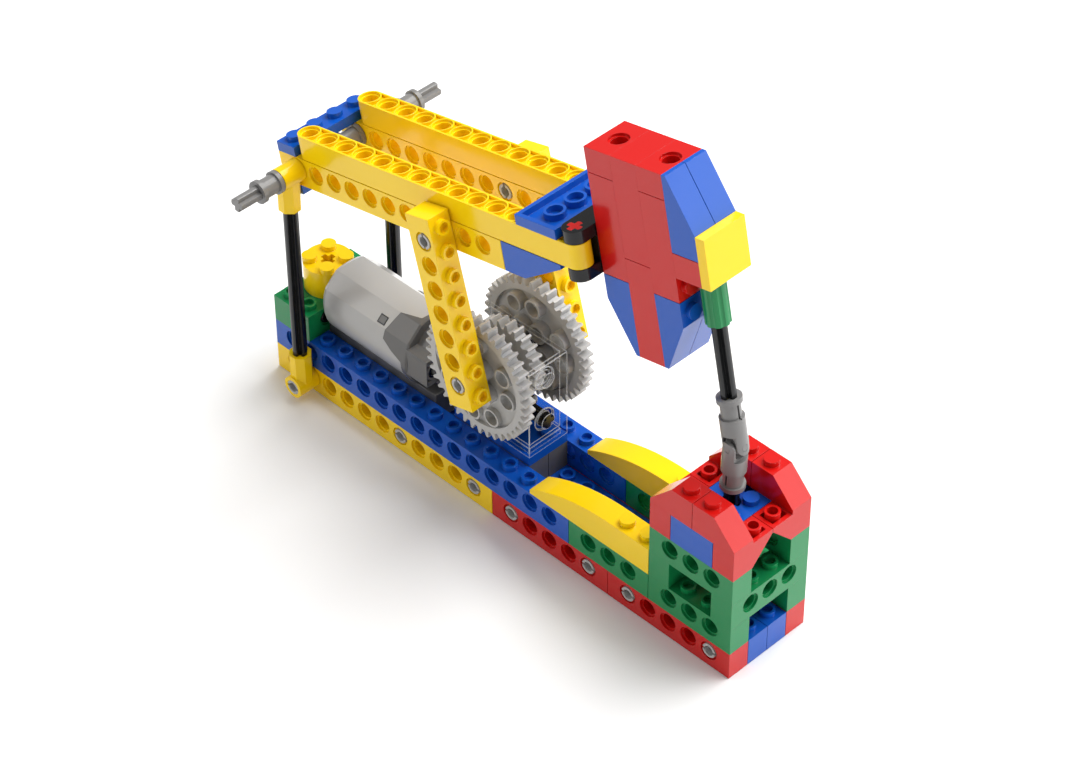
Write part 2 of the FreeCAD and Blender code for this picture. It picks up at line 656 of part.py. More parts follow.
def crank():
    turn = Rotation(Vector(0, 1, 0), -sheet.crank_angle)
    centre = place(crank_x(), 0, crank_z(), turn)
    gear = big_gear()
    middle = 1.5 * M
    over = Rotation(Vector(1, 0, 0), 180)
    for name, y, side in (("near_crank_gear", -middle, UPRIGHT), ("far_crank_gear", middle, over)):
        node(name, [copies(name + "_copy", gear, [place(0, y, 0, side)])], centre)
    node("drive_gear", [small_gear()], centre)
    length = 4 * M - 2 * GAP
    axle = cross_bar("crank_bar", length)
    node("crank_axle", [copies("crank_bar_copy", axle, [place(0, -length / 2, 0, Y_AXIS)])], centre)


def screw():
    """Worm and its shaft, which runs out of the motor."""
    start = stud_x(sheet.motor_start_stud + sheet.motor_studs) - 5.0
    length = crank_x() + 2 * M - start
    shaft = cross_bar("shaft_bar", length)
    node("motor_shaft", [copies("shaft_bar_copy", shaft, [place(0, 0, 0, X_AXIS)])], place(start, 0, worm_z()))
    blank = cylinder("worm_blank", "sizes.worm_radius", "sizes.worm_length", place(turn=X_AXIS))
    worm = cut("worm_bored", blank, copies("worm_hole", axle_cutter, [place(-1, 0, 0, X_AXIS)]))
    node("worm", [worm], place(crank_x() - sheet.worm_length / 2, 0, worm_z()))


# ---------------------------------------------------------------- posts and pivot

def pivot_z():
    return sheet.hole_height + 2 * (M + sheet.socket_web) + sheet.post_axle_studs * M


def connector():
    """Angle connector: a pin barrel along Y and an axle socket that opens upwards."""
    length = M - 2 * GAP
    barrel = cylinder("connector_barrel", "sizes.bush_radius", f"{length}", place(0, -length / 2, 0, Y_AXIS))
    reach = sheet.connector_reach * M
    neck = box("connector_neck", "sizes.arm_width - 0.6", "sizes.arm_width - 0.6", f"{reach}",
               place(-(sheet.arm_width - 0.6) / 2, -(sheet.arm_width - 0.6) / 2, 0))
    edges = box("connector_edges", f"{math.sqrt(2) * 3.7 * 1.28}", f"{math.sqrt(2) * 3.7 * 1.28}", f"{reach}",
                place(-math.sqrt(2) * 3.7 * 0.64, -math.sqrt(2) * 3.7 * 0.64, 0))
    slanted = copies("connector_slanted", edges, [place(turn=Rotation(Vector(0, 0, 1), 45))])
    stem = common("connector_stem", neck, slanted)
    body = fuse("connector_body", [barrel, stem])
    bore = cylinder("connector_bore", "sizes.hole_radius", f"{length + 2}", place(0, -length / 2 - 1, 0, Y_AXIS))
    socket = copies("connector_socket", axle_cutter, [place(0, 0, reach - MIDDLE)])
    return cut("connector", cut("connector_bored", body, bore), socket)


def posts():
    x = stud_x(sheet.post_stud)
    y = sheet.half_width_studs * M + MIDDLE
    foot, top = sheet.hole_height, pivot_z()
    over = Rotation(Vector(0, 1, 0), 180)
    spots = [place(x, side * y, foot) for side in (-1, 1)] + [place(x, side * y, top, over) for side in (-1, 1)]
    node("post_connectors", [copies("connector_set", connector(), spots)])
    bar = cross_bar("post_bar", sheet.post_axle_studs * M)
    base_z = foot + sheet.connector_reach * M - MIDDLE + sheet.socket_web
    node("post_axles", [copies("post_bar_pair", bar, [place(x, side * y, base_z) for side in (-1, 1)])])
    length = 10 * M
    bar = cross_bar("pivot_bar", length - 2 * GAP)
    node("pivot_axle", [copies("pivot_bar_copy", bar, [place(0, -length / 2 + GAP, 0, Y_AXIS)])], place(x, 0, top))
    sleeve = bush("bush")
    node("pivot_bushes", [copies("bush_set", sleeve, [place(x, k * M, top) for k in (-4, -1, 0, 3)])])


# ---------------------------------------------------------------- beam, built along its own pivot line

def beam_frame():
    return place(stud_x(sheet.post_stud), 0, pivot_z(), Rotation(Vector(0, 1, 0), -sheet.beam_tilt))


def beam():
    frame = beam_frame()
    under = -sheet.hole_height
    deck = under + BRICK
    studs = int(sheet.beam_studs)
    node("beam_side_bricks", [copies("beam_brick_pair", hole_brick(studs),
                                     [place(-M, y, under) for y in SIDES])], frame)
    end = (studs - 1) * M
    node("beam_wedges", [copies("beam_wedge_pair", inverted_33, [place(end, y, under) for y in SIDES])], frame)
    holes = int(sheet.bar_holes)
    bar = round_bar("top_bar", holes)
    node("beam_top_bars", [copies("top_bar_pair", bar, [place(0, y, deck) for y in SIDES])], frame)
    tail = block("tail_plate", 1, 4, "sizes.plate", grid(1, 4, PLATE), stud_solid)
    keel = block("keel_plate", 1, 4, "sizes.plate")
    node("beam_tail_plates", [copies("tail_plate_copy", tail, [place(-M, NEAR, deck)]),
                              copies("keel_plate_copy", keel, [place(-M, NEAR, under - PLATE)])], frame)
    nose_plate(frame, deck + M, holes)
    forks(frame, deck, holes)


def nose_plate(frame, floor, holes):
    """Upside-down 2 x 4 plate across the bars: rim and tubes up, studs in the bars' holes."""
    body = box("nose_body", "2 * sizes.module - 2 * sizes.gap", "4 * sizes.module - 2 * sizes.gap",
               "sizes.plate", place(GAP, GAP))
    tray = box("nose_tray", "2 * sizes.module - 2 * sizes.wall", "4 * sizes.module - 2 * sizes.wall",
               "sizes.plate", place(sheet.wall, sheet.wall, 1.2))
    tube = cut("nose_tube", cylinder("nose_tube_outer", "sizes.sink_radius + 0.15", "sizes.plate - 0.01"),
               cylinder("nose_tube_inner", "sizes.stud_radius", "sizes.plate", place(0, 0, 1.2)))
    tubes = copies("nose_tubes", tube, [place(M, (j + 1) * M, 0) for j in range(3)])
    pegs = copies("nose_pegs", stud_solid, [place(p.Base.x, p.Base.y, -sheet.stud_rise) for p in grid(2, 4)])
    plate = fuse("nose_plate", [cut("nose_rim", body, tray), tubes, pegs])
    start = (holes - 3) * M
    node("beam_nose_plate", [copies("nose_plate_copy", plate, [place(start, NEAR, floor)])], frame)


def forks(frame, deck, holes):
    """Black forks that grip the bars' front holes, and the pins that carry the head on them."""
    x = (holes - 0.5) * M
    radius = sheet.arm_width / 2
    low, high = deck - MIDDLE, deck + M
    outer = sheet.half_width_studs * M - MIDDLE
    lobe_height = MIDDLE - 2 * GAP
    lobe = fuse("fork_lobe", [
        cylinder("fork_lobe_round", "sizes.arm_width / 2", f"{lobe_height}"),
        box("fork_lobe_link", "sizes.arm_width", f"{outer - MIDDLE}", f"{lobe_height}",
            place(-radius, 0, 0))])
    lobes = copies("fork_lobes", lobe, [place(0, 0, low + GAP), place(0, 0, high + GAP)])
    body = box("fork_body", "sizes.arm_width", f"{M - 2 * GAP}", f"{2 * M - 2 * GAP}",
               place(-radius, outer - MIDDLE - MIDDLE + GAP, low + GAP))
    solid = fuse("fork_solid", [lobes, body])
    upright = copies("fork_axle_hole", axle_cutter, [place(0, 0, low - 5)])
    bore = cylinder("fork_bore", "sizes.hole_radius", "2 * sizes.module", place(-M, 0, 0, X_AXIS))
    pin_heights = (low + MIDDLE, high)
    bores = copies("fork_bores", bore, [place(0, outer - MIDDLE, z) for z in pin_heights])
    fork = cut("fork", cut("fork_drilled", solid, upright), bores)
    mirrored = doc.addObject("Part::Mirroring", "fork_mirrored")
    mirrored.Source = fork
    mirrored.Normal = Vector(0, 1, 0)
    node("head_forks", [copies("near_fork", fork, [place(x, -outer, 0)]),
                        copies("far_fork", mirrored, [place(x, outer, 0)])], frame)
    stub = cross_bar("fork_axle", 2 * M - 2 * GAP)
    node("fork_axles", [copies("fork_axle_pair", stub, [place(x, y, low + GAP) for y in (-outer, outer)])], frame)
    peg_length = head_start() - x + radius + sheet.socket_depth - GAP
    peg = cylinder("head_peg", "sizes.axle_radius", f"{peg_length}", place(turn=X_AXIS))
    node("head_pins", [copies("head_peg_set", peg, [place(x - radius, y, z) for z in pin_heights
                                                    for y in (-MIDDLE, MIDDLE)])], frame)


def head_start():
    """Head's rear face in front of the beam pivot: it meets the round-ended bars' tips."""
    return sheet.bar_holes * M


def head_top():
    return sheet.head_top_studs * M


def on_side(layer, row_from_top, y, turn=UPRIGHT):
    """Place of a brick of the head, whose stud side faces +X and whose length runs down."""
    quarter = Rotation(Vector(0, 1, 0), 90)
    return place(head_start() + layer * BRICK, y, head_top() - row_from_top * M, quarter.multiply(turn))


def head():
    frame = beam_frame()
    long_brick = block("head_brick", 4, 2, "sizes.brick", grid(4, 2, BRICK), stud_solid)
    eye = hole_brick(2)
    across = QUARTER                     # lays a 1 x 2 brick across the head
    node("head_outer_bricks", [
        copies("head_outer_long", long_brick, [on_side(0, 1, -M), on_side(2, 1, -M)]),
        copies("head_outer_eyes", eye, [on_side(0, 1, -M, across), on_side(2, 1, -M, across)])], frame)
    node("head_middle_bricks", [
        copies("head_middle_long", long_brick, [on_side(1, 0, -M), on_side(1, 4, -M)]),
        copies("head_middle_eye", eye, [on_side(3, 4, -M, across)])], frame)
    turned = Rotation(Vector(0, 0, 1), 180)
    node("head_slopes", [
        copies("head_back_slope", inverted_33_wide, [on_side(0, 5, -M)]),
        copies("head_low_slopes", slope_33, [on_side(2, 5, y) for y in (-M, 0.0)]),
        copies("head_high_slopes", slope_33, [on_side(3, 3, y + M, turned) for y in (-M, 0.0)])], frame)
    tile = block("head_tile_body", 2, 2, "sizes.plate")
    node("head_tile", [copies("head_tile_copy", tile, [on_side(4, 2, -M)])], frame)


# ---------------------------------------------------------------- rod and universal joint

def rod_x():
    """Rod's distance in front of the beam pivot, along the beam."""
    return head_start() + 3 * BRICK + sheet.hole_height


def joiner_top():
    return head_top() - 4 * M


def joint_height():
    """Universal joint's centre above the beam's pivot line."""
    return joiner_top() - (sheet.rod_axle_studs + sheet.joint_studs / 2) * M


def joint_spot():
    return beam_frame().multVec(Vector(rod_x(), 0, joint_height()))


def yoke(name, ears_along_y):
    """Half of the universal joint. The joint's centre is the origin and the shaft end is up."""
    half = sheet.joint_studs / 2 * M
    flange = cylinder(name + "_flange", "sizes.joint_radius + 0.05", "1.5", place(0, 0, half - 1.5))
    neck = cylinder(name + "_neck", "sizes.joint_neck", f"{half - 9}", place(0, 0, 9))
    barrel = cylinder(name + "_barrel", "sizes.joint_radius", "5.3", place(0, 0, 4.2))
    ear_plate = common(name + "_ear_form",
                       cylinder(name + "_ear_round", "sizes.joint_radius", "8", place(0, 0, -3)),
                       fuse(name + "_ear_front", [
                           cylinder(name + "_ear_end", "2.3", "8", place(-4, 0, 0, X_AXIS)),
                           box(name + "_ear_side", "8", "4.6", "6", place(-4, -2.3, 0))]))
    slot = fuse(name + "_slot", [box(name + "_slot_sides", "4.8", "8", "5.6", place(-2.4, -4, -4)),
                                 cylinder(name + "_slot_arch", "2.4", "8", place(0, -4, 1.6, Y_AXIS))])
    ears = cut(name + "_ears", ear_plate, slot)
    split = box(name + "_split", "2 * sizes.module", "0.6", f"{half - 11}", place(-M, -0.3, 9.2))
    body = fuse(name + "_body", [flange, neck, barrel, ears])
    pin_hole = cylinder(name + "_pin_hole", "sizes.joint_pin + sizes.fit", "10", place(-5, 0, 0, X_AXIS))
    socket = copies(name + "_socket", axle_cutter, [place(0, 0, half - M)])
    drilled = cut(name + "_drilled", cut(name + "_opened", body, split), pin_hole)
    finished = cut(name, drilled, socket)
    turn = QUARTER if ears_along_y else UPRIGHT
    return copies(name + "_turned", finished, [place(turn=turn)])


def cross_piece():
    """Cross of the universal joint: a block with four pins."""
    block_size = 3.6
    middle = box("cross_block", f"{block_size}", f"{block_size}", f"{block_size}",
                 place(-block_size / 2, -block_size / 2, -block_size / 2))
    reach = sheet.joint_radius - 0.1
    along_x = cylinder("cross_pin_x", "sizes.joint_pin", f"{2 * reach}", place(-reach, 0, 0, X_AXIS))
    along_y = cylinder("cross_pin_y", "sizes.joint_pin", f"{2 * reach}", place(0, -reach, 0, Y_AXIS))
    return fuse("cross_piece", [middle, along_x, along_y])


def rod():
    frame = beam_frame()
    x = rod_x()
    length = 2 * M - 2 * GAP
    flutes = []
    for i in range(8):
        angle = math.radians(45 * i + 22.5)
        reach = sheet.bush_radius + 0.75
        flutes.append(place(reach * math.cos(angle), reach * math.sin(angle), -1))
    flute = cylinder("joiner_flute", "1.1", f"{length + 2}")
    tube = cut("joiner_fluted", cylinder("joiner_round", "sizes.bush_radius", f"{length}"),
               copies("joiner_flutes", flute, flutes))
    joiner = cut("joiner", tube, copies("joiner_hole", axle_cutter, [place(0, 0, -1)]))
    node("rod_joiner", [copies("joiner_copy", joiner, [place(x, 0, joiner_top() - length - GAP)])], frame)
    stub = cross_bar("hanger_bar", 2 * M - 3 * GAP)
    rod_length = sheet.rod_axle_studs * M
    upper = cross_bar("upper_rod_bar", rod_length - 2 * GAP)
    centre = joiner_top() - M
    node("rod_hanger", [copies("hanger_copy", stub, [place(x, 0, centre + GAP)])], frame)
    node("upper_rod", [copies("upper_rod_copy", upper, [place(x, 0, centre - rod_length + GAP)])], frame)
    joint = place(x, 0, joint_height())
    node("upper_yoke", [copies("upper_yoke_copy", yoke("upper_half", False), [joint])], frame)
    node("joint_cross", [copies("cross_copy", cross_piece(), [joint])], frame)
    spot = joint_spot()
    hole = Vector(stud_x(sheet.base_studs - sheet.tower_studs / 2), 0, level(13.5))
    lean = math.degrees(math.atan2(spot.x - hole.x, spot.z - hole.z))
    lower = place(spot.x, 0, spot.z, Rotation(Vector(0, 1, 0), 180 + lean))
    node("lower_yoke", [copies("lower_yoke_copy", yoke("lower_half", True), [place()])], lower)
    lower_bar = cross_bar("lower_rod_bar", rod_length - 2 * GAP)
    node("lower_rod", [copies("lower_rod_copy", lower_bar, [place(0, 0, M + GAP)])], lower)


# ---------------------------------------------------------------- crank arms

def crank_arms(long_pin):
    """Pair of hole bricks that hang from the beam. Their lower pins stop short of the gears."""
    top = beam_frame().multVec(Vector(sheet.arm_pin_studs * M, 0, 0))
    down = Rotation(Vector(0, 1, 0), 90 - sheet.arm_lean)
    frame = place(top.x, 0, top.z, down)
    studs = int(sheet.arm_studs)
    outer, inner = 3 * M, 2 * M
    under = -sheet.hole_height
    node("crank_arms", [copies("crank_arm_pair", hole_brick(studs),
                               [place(-M, y, under) for y in (-outer, inner)])], frame)
    reach = (studs - 2) * M
    short_pin = pin("short_pin", M - 2 * GAP)
    node("crank_arm_pins", [
        copies("arm_top_pins", long_pin, [place(0, -outer + GAP, 0), place(0, M + GAP, 0)]),
        copies("arm_crank_pins", short_pin, [place(reach, -outer + GAP, 0), place(reach, inner + GAP, 0)])], frame)


# ---------------------------------------------------------------- build, check and write

base()
long_pin = side_pins()
tower()
motor()
worm_box()
crank()
screw()
posts()
beam()
head()
rod()
crank_arms(long_pin)
doc.recompute()

faults = [piece.Label for piece in doc.Objects
          if "Invalid" in piece.State or "Error" in piece.State]
faults += [name for name, part in NODES.items() if part.Shape.isNull() or not part.Shape.isValid()]
if faults:
    raise RuntimeError("failed pieces: " + ", ".join(faults))

os.makedirs("parts", exist_ok=True)
for name, part in NODES.items():
    part.Shape.exportStep(f"parts/{name}.step")
    size = part.Shape.BoundBox
    print(f"{name}: {len(part.Shape.Solids)} solids, {part.Shape.Volume / 1000:.2f} cm3, "
          f"x {size.XMin:.1f}..{size.XMax:.1f} y {size.YMin:.1f}..{size.YMax:.1f} "
          f"z {size.ZMin:.1f}..{size.ZMax:.1f}")
spot = joint_spot()
print(f"beam pivot z {pivot_z():.2f}, crank x {crank_x():.2f} z {crank_z():.2f}, worm z {worm_z():.2f}, "
      f"joint x {spot.x:.2f} z {spot.z:.2f}")
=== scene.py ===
# %% [markdown]
# # A brick-built toy pumpjack
# The toy is a small oil pump: a geared motor turns a worm, the worm turns two crank gears, and a
# beam on two posts rocks a heavy head over a well tower. Every brick, gear and axle comes from the
# CAD frame. This notebook gives them their plastics, swaps the plain motor for a detailed one, adds
# the worm's thread, and makes the small mouldings that the frame leaves out.

# %% Load the frame
import bpy
import bmesh
import json
import math
from mathutils import Matrix, Vector


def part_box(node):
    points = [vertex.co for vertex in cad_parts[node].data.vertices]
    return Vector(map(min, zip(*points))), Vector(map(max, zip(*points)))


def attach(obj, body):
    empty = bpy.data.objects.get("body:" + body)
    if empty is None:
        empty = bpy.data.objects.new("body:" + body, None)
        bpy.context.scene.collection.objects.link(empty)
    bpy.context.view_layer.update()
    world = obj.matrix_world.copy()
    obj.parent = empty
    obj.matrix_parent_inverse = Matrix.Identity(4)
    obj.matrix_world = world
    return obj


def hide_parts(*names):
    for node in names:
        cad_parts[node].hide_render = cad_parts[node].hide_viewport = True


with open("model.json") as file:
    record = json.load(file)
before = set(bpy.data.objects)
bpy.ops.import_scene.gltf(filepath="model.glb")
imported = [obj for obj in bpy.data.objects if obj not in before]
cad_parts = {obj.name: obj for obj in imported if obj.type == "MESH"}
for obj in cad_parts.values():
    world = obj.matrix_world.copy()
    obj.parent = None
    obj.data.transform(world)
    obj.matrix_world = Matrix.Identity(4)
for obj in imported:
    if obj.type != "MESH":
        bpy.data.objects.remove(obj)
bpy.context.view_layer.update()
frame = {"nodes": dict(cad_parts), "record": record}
MM = 0.001

# %% [markdown]
# ## The moulded surface
# Real toy bricks are polished where the mould was polished, yet never perfect: the colour shifts a
# little from shot to shot, the gloss is broken by faint swirls and finger marks, and every edge has
# a tiny radius that catches the light. One shader node group makes all of that, so that every
# plastic shares it. It puts out a colour, a roughness and a normal; the shader stays outside.


# %% A small helper that wires nodes
def add_node(tree, kind, inputs=(), **settings):
    """Add a node, set its properties, then fill or link its inputs by name or number."""
    made = tree.nodes.new(kind)
    for name, value in settings.items():
        setattr(made, name, value)
    for key, value in dict(inputs).items():
        if isinstance(value, bpy.types.NodeSocket):
            tree.links.new(value, made.inputs[key])
        else:
            made.inputs[key].default_value = value
    return made


def new_group(name, tree_type, sockets_in, sockets_out):
    """An empty node group with named sockets, and its two end nodes."""
    group = bpy.data.node_groups.new(name, tree_type)
    for label, kind, default in sockets_in:
        socket = group.interface.new_socket(name=label, in_out="INPUT", socket_type=kind)
        if default is not None:
            socket.default_value = default
    for label, kind in sockets_out:
        group.interface.new_socket(name=label, in_out="OUTPUT", socket_type=kind)
    return group, group.nodes.new("NodeGroupInput"), group.nodes.new("NodeGroupOutput")


# %% Build the moulded-surface group
surface, entry, leave = new_group(
    "moulded_surface", "ShaderNodeTree",
    [("Colour", "NodeSocketColor", (0.8, 0.8, 0.8, 1)), ("Gloss", "NodeSocketFloat", 0.16),
     ("Edge radius", "NodeSocketFloat", 0.00014), ("Ripple", "NodeSocketFloat", 0.03)],
    [("Colour", "NodeSocketColor"), ("Roughness", "NodeSocketFloat"), ("Normal", "NodeSocketVector")])
place = add_node(surface, "ShaderNodeTexCoord").outputs["Object"]
clouds = add_node(surface, "ShaderNodeTexNoise", {"Vector": place, "Scale": 55.0, "Detail": 3.0})
tone = add_node(surface, "ShaderNodeMapRange", {"Value": clouds.outputs["Fac"], "From Min": 0.3,
                                                "From Max": 0.7, "To Min": 0.985, "To Max": 1.015})
shade = add_node(surface, "ShaderNodeVectorMath", {0: entry.outputs["Colour"],
                                                   "Scale": tone.outputs["Result"]}, operation="SCALE")
smears = add_node(surface, "ShaderNodeTexNoise", {"Vector": place, "Scale": 170.0, "Detail": 4.0,
                                                  "Distortion": 1.4})
haze = add_node(surface, "ShaderNodeMapRange", {"Value": smears.outputs["Fac"], "From Min": 0.45,
                                                "From Max": 0.75, "To Min": 0.0, "To Max": 0.035})
rough = add_node(surface, "ShaderNodeMath", {0: entry.outputs["Gloss"], 1: haze.outputs["Result"]})
grain = add_node(surface, "ShaderNodeTexNoise", {"Vector": place, "Scale": 420.0, "Detail": 2.0})
edge = add_node(surface, "ShaderNodeBevel", {"Radius": entry.outputs["Edge radius"]}, samples=4)
bump = add_node(surface, "ShaderNodeBump", {"Strength": entry.outputs["Ripple"], "Distance": 0.0003,
                                            "Height": grain.outputs["Fac"], "Normal": edge.outputs["Normal"]})
surface.links.new(shade.outputs["Vector"], leave.inputs["Colour"])
surface.links.new(rough.outputs["Value"], leave.inputs["Roughness"])
surface.links.new(bump.outputs["Normal"], leave.inputs["Normal"])
print("moulded surface has", len(surface.nodes), "nodes")

# %% [markdown]
# ## Plastics
# Each colour of plastic is one material. A faint clear coat over a fairly smooth base gives the
# wet-looking highlight of a new brick. The worm box is clear: its walls
# are thin, so they are made see-through with alpha; their edges carry a painted highlight, pale and more
# opaque, and the gloss highlights show.


# %% Plastics by colour
def srgb(code):
    """Scene-linear colour from a hexadecimal display colour."""
    parts = [int(code[i:i + 2], 16) / 255 for i in (0, 2, 4)]
    return [p / 12.92 if p <= 0.04045 else ((p + 0.055) / 1.055) ** 2.4 for p in parts] + [1.0]


def plastic(name, code, gloss=0.16, ripple=0.03, coat=0.1):
    material = bpy.data.materials.new(name)
    material.use_nodes = True
    tree = material.node_tree
    shader = tree.nodes["Principled BSDF"]
    look = add_node(tree, "ShaderNodeGroup", node_tree=surface)
    look.inputs["Colour"].default_value = srgb(code)
    look.inputs["Gloss"].default_value = gloss
    look.inputs["Ripple"].default_value = ripple
    tree.links.new(look.outputs["Colour"], shader.inputs["Base Color"])
    tree.links.new(look.outputs["Roughness"], shader.inputs["Roughness"])
    tree.links.new(look.outputs["Normal"], shader.inputs["Normal"])
    shader.inputs["IOR"].default_value = 1.5
    shader.inputs["Specular IOR Level"].default_value = 0.32
    shader.inputs["Coat Weight"].default_value = coat
    shader.inputs["Coat Roughness"].default_value = 0.04
    material.diffuse_color = srgb(code)
    return material


plastics = {
    "red": plastic("red_plastic", "C81410"),
    "blue": plastic("blue_plastic", "1053B6"),
    "yellow": plastic("yellow_plastic", "FBD20C"),
    "green": plastic("green_plastic", "15844A"),
    "light_grey": plastic("light_grey_plastic", "B1B0AE", gloss=0.2),
    "mid_grey": plastic("mid_grey_plastic", "7D7C7B", gloss=0.22),
    "dark_grey": plastic("dark_grey_plastic", "646362", gloss=0.22),
    "black": plastic("black_plastic", "101113", gloss=0.2),
}


# %% Clear plastic for the worm box
def clear_plastic():
    """Thin clear walls: see-through face on, pale along their edges from a painted highlight, and pale where
    the eye skims them.
    """
    material = bpy.data.materials.new("clear_plastic")
    material.use_nodes = True
    tree = material.node_tree
    shader = tree.nodes["Principled BSDF"]
    look = add_node(tree, "ShaderNodeGroup", node_tree=surface)
    # This colour is used only for the painted highlight along the walls' edges.
    look.inputs["Colour"].default_value = (0.86, 0.88, 0.9, 1)
    look.inputs["Gloss"].default_value = 0.03
    look.inputs["Ripple"].default_value = 0.0
    look.inputs["Edge radius"].default_value = 0.0007
    tree.links.new(look.outputs["Roughness"], shader.inputs["Roughness"])
    flat = add_node(tree, "ShaderNodeNewGeometry")
    bend = add_node(tree, "ShaderNodeVectorMath", {0: look.outputs["Normal"], 1: flat.outputs["True Normal"]},
                    operation="DOT_PRODUCT")
    # Painted highlight along the edges: where the bevel normal bends away from the flat face, the wall is
    # made more opaque and its colour pale. On flat faces the colour is black.
    rim = add_node(tree, "ShaderNodeMapRange", {"Value": bend.outputs["Value"], "From Min": 0.997,
                                                "From Max": 0.93, "To Min": 0.0, "To Max": 0.72})
    core = add_node(tree, "ShaderNodeMapRange", {"Value": bend.outputs["Value"], "From Min": 0.97,
                                                 "From Max": 0.9})
    painted_edge_highlight_colour = add_node(tree, "ShaderNodeVectorMath", {0: look.outputs["Colour"],
                                                   "Scale": core.outputs["Result"]}, operation="SCALE")
    tree.links.new(painted_edge_highlight_colour.outputs["Vector"], shader.inputs["Base Color"])
    skim = add_node(tree, "ShaderNodeLayerWeight", {"Blend": 0.3})
    veil = add_node(tree, "ShaderNodeMapRange", {"Value": skim.outputs["Facing"], "From Min": 0.4,
                                                 "From Max": 1.0, "To Min": 0.02, "To Max": 0.3})
    solid = add_node(tree, "ShaderNodeMath", {0: rim.outputs["Result"], 1: veil.outputs["Result"]})
    tree.links.new(solid.outputs["Value"], shader.inputs["Alpha"])
    shader.inputs["IOR"].default_value = 1.55
    return material


plastics["clear"] = clear_plastic()

# %% Paint every CAD node
# The rod joint and the beam's pivot are moulded in a darker grey than the gears and the motor.
DARKER_GREYS = ("upper_yoke", "lower_yoke", "joint_cross", "pivot_axle", "pivot_bushes")
paint = {part["node"]: part["material_slot"] for part in frame["record"]["subparts"]}
paint.update({name: "mid_grey" for name in DARKER_GREYS})
for name, piece in frame["nodes"].items():
    piece.data.materials.clear()
    piece.data.materials.append(plastics[paint[name]])
print("painted", len(paint), "nodes in", len(set(paint.values())), "plastics")


# %% [markdown]
# ## Tools for new pieces
# A new piece is a bmesh turned into an object at the origin, painted with one plastic and hung on
# the body it moves with. Geometry Nodes make what repeats; their result is turned into a plain mesh.

# %% Tools for new pieces
def keep(name, mesh, body, colour, smooth=40.0):
    """Turn a bmesh or a mesh into a named piece of one plastic that rides on a body."""
    if isinstance(mesh, bmesh.types.BMesh):
        bmesh.ops.remove_doubles(mesh, verts=mesh.verts, dist=1e-6)
        bmesh.ops.recalc_face_normals(mesh, faces=mesh.faces)
        data = bpy.data.meshes.new(name)
        mesh.to_mesh(data)
        mesh.free()
    else:
        data = mesh
        data.name = name
    data.materials.clear()
    data.materials.append(plastics[colour])
    data.shade_smooth()
    data.set_sharp_from_angle(angle=math.radians(smooth))
    piece = bpy.data.objects.new(name, data)
    bpy.context.scene.collection.objects.link(piece)
    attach(piece, body)
    print(f"{name}: {len(data.polygons)} faces")
    return piece


def bake_nodes(tree, values):
    """Run a geometry node tree on an empty mesh with the given inputs and return a plain mesh."""
    holder = bpy.data.objects.new("holder", bpy.data.meshes.new("holder"))
    bpy.context.scene.collection.objects.link(holder)
    modifier = holder.modifiers.new("nodes", "NODES")
    modifier.node_group = tree
    for item in tree.interface.items_tree:
        if item.item_type == "SOCKET" and item.in_out == "INPUT" and item.name in values:
            modifier[item.identifier] = values[item.name]
    seen = bpy.context.evaluated_depsgraph_get()
    mesh = bpy.data.meshes.new_from_object(holder.evaluated_get(seen))
    bpy.data.objects.remove(holder)
    return mesh


# %% [markdown]
# ## The worm's thread
# On the real worm a trapezoid ridge winds round the core, and the drive gear's teeth sit between
# its turns. The ridge is a small four-sided profile carried round a right-handed spiral; it is built
# ring by ring because both of its ends must thin out to nothing. Its pitch is the gear's tooth
# pitch, and its start angle puts the gear's lowest teeth between two turns.

# %% Spiral ridge of the worm
worm_low, worm_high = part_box("worm")
worm_axis = Vector([(a + b) / 2 for a, b in zip(worm_low, worm_high)])
worm_length = worm_high[0] - worm_low[0]
GEAR_MODULE, GEAR_TEETH = 1.0 * MM, 24
lead = math.pi * GEAR_MODULE
tooth = math.radians(-92.5)
groove_x = worm_axis[0] + GEAR_MODULE * GEAR_TEETH / 2 * math.cos(tooth) + lead / 2
turns = math.floor((worm_length - 1.6 * MM) / lead)


def ridge_mesh(core, tip, foot_width, tip_width, steps=36):
    """Closed helical ridge round the X axis, thinned to nothing at both ends."""
    ridge = bmesh.new()
    count = int(turns * steps)
    rings = []
    first = -math.pi * turns
    for i in range(count + 1):
        angle = first + 2 * math.pi * i / steps
        fade = min(1.0, i / (steps / 6), (count - i) / (steps / 6))
        reach = core + (tip - core) * max(fade, 0.02)
        x = groove_x + lead * angle / (2 * math.pi)
        ring = []
        for radius, offset in ((core, -foot_width / 2), (reach, -tip_width / 2),
                               (reach, tip_width / 2), (core, foot_width / 2)):
            ring.append(ridge.verts.new((x + offset, worm_axis[1] - radius * math.sin(angle),
                                         worm_axis[2] + radius * math.cos(angle))))
        rings.append(ring)
    for a, b in zip(rings, rings[1:]):
        for k in range(4):
            ridge.faces.new((a[k], a[(k + 1) % 4], b[(k + 1) % 4], b[k]))
    ridge.faces.new(rings[0])
    ridge.faces.new(rings[-1][::-1])
    return ridge


keep("worm_thread", ridge_mesh(2.8 * MM, 4.6 * MM, 1.5 * MM, 0.55 * MM), "screw", "black")

# %% [markdown]
# ## The motor
# The real motor is a drawn can in light grey, faceted above and rounded below, with a dark grey
# gear housing pushed over its front end. The housing's rear edge is a zigzag: it reaches back along
# each upper facet and draws forward at the crown and along the sides. Lofting one cross-section
# along the motor's axis gives the can, and moving each section point forward or back gives the
# zigzag edge.

# %% Cross-section of the motor
can_low, can_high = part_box("motor_can")
front_low, front_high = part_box("motor_front")
axis_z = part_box("worm")[0][2] + 2.9 * MM
SECTION = [(0.0, 11.3), (3.0, 11.2), (5.1, 10.7), (10.1, 6.1), (11.0, 3.4), (11.4, 1.2),
           (11.5, -0.8), (11.3, -3.0), (10.7, -5.2), (9.8, -7.2), (8.6, -9.0), (7.6, -10.2)]
SECTION = [(y * MM, z * MM) for y, z in SECTION]


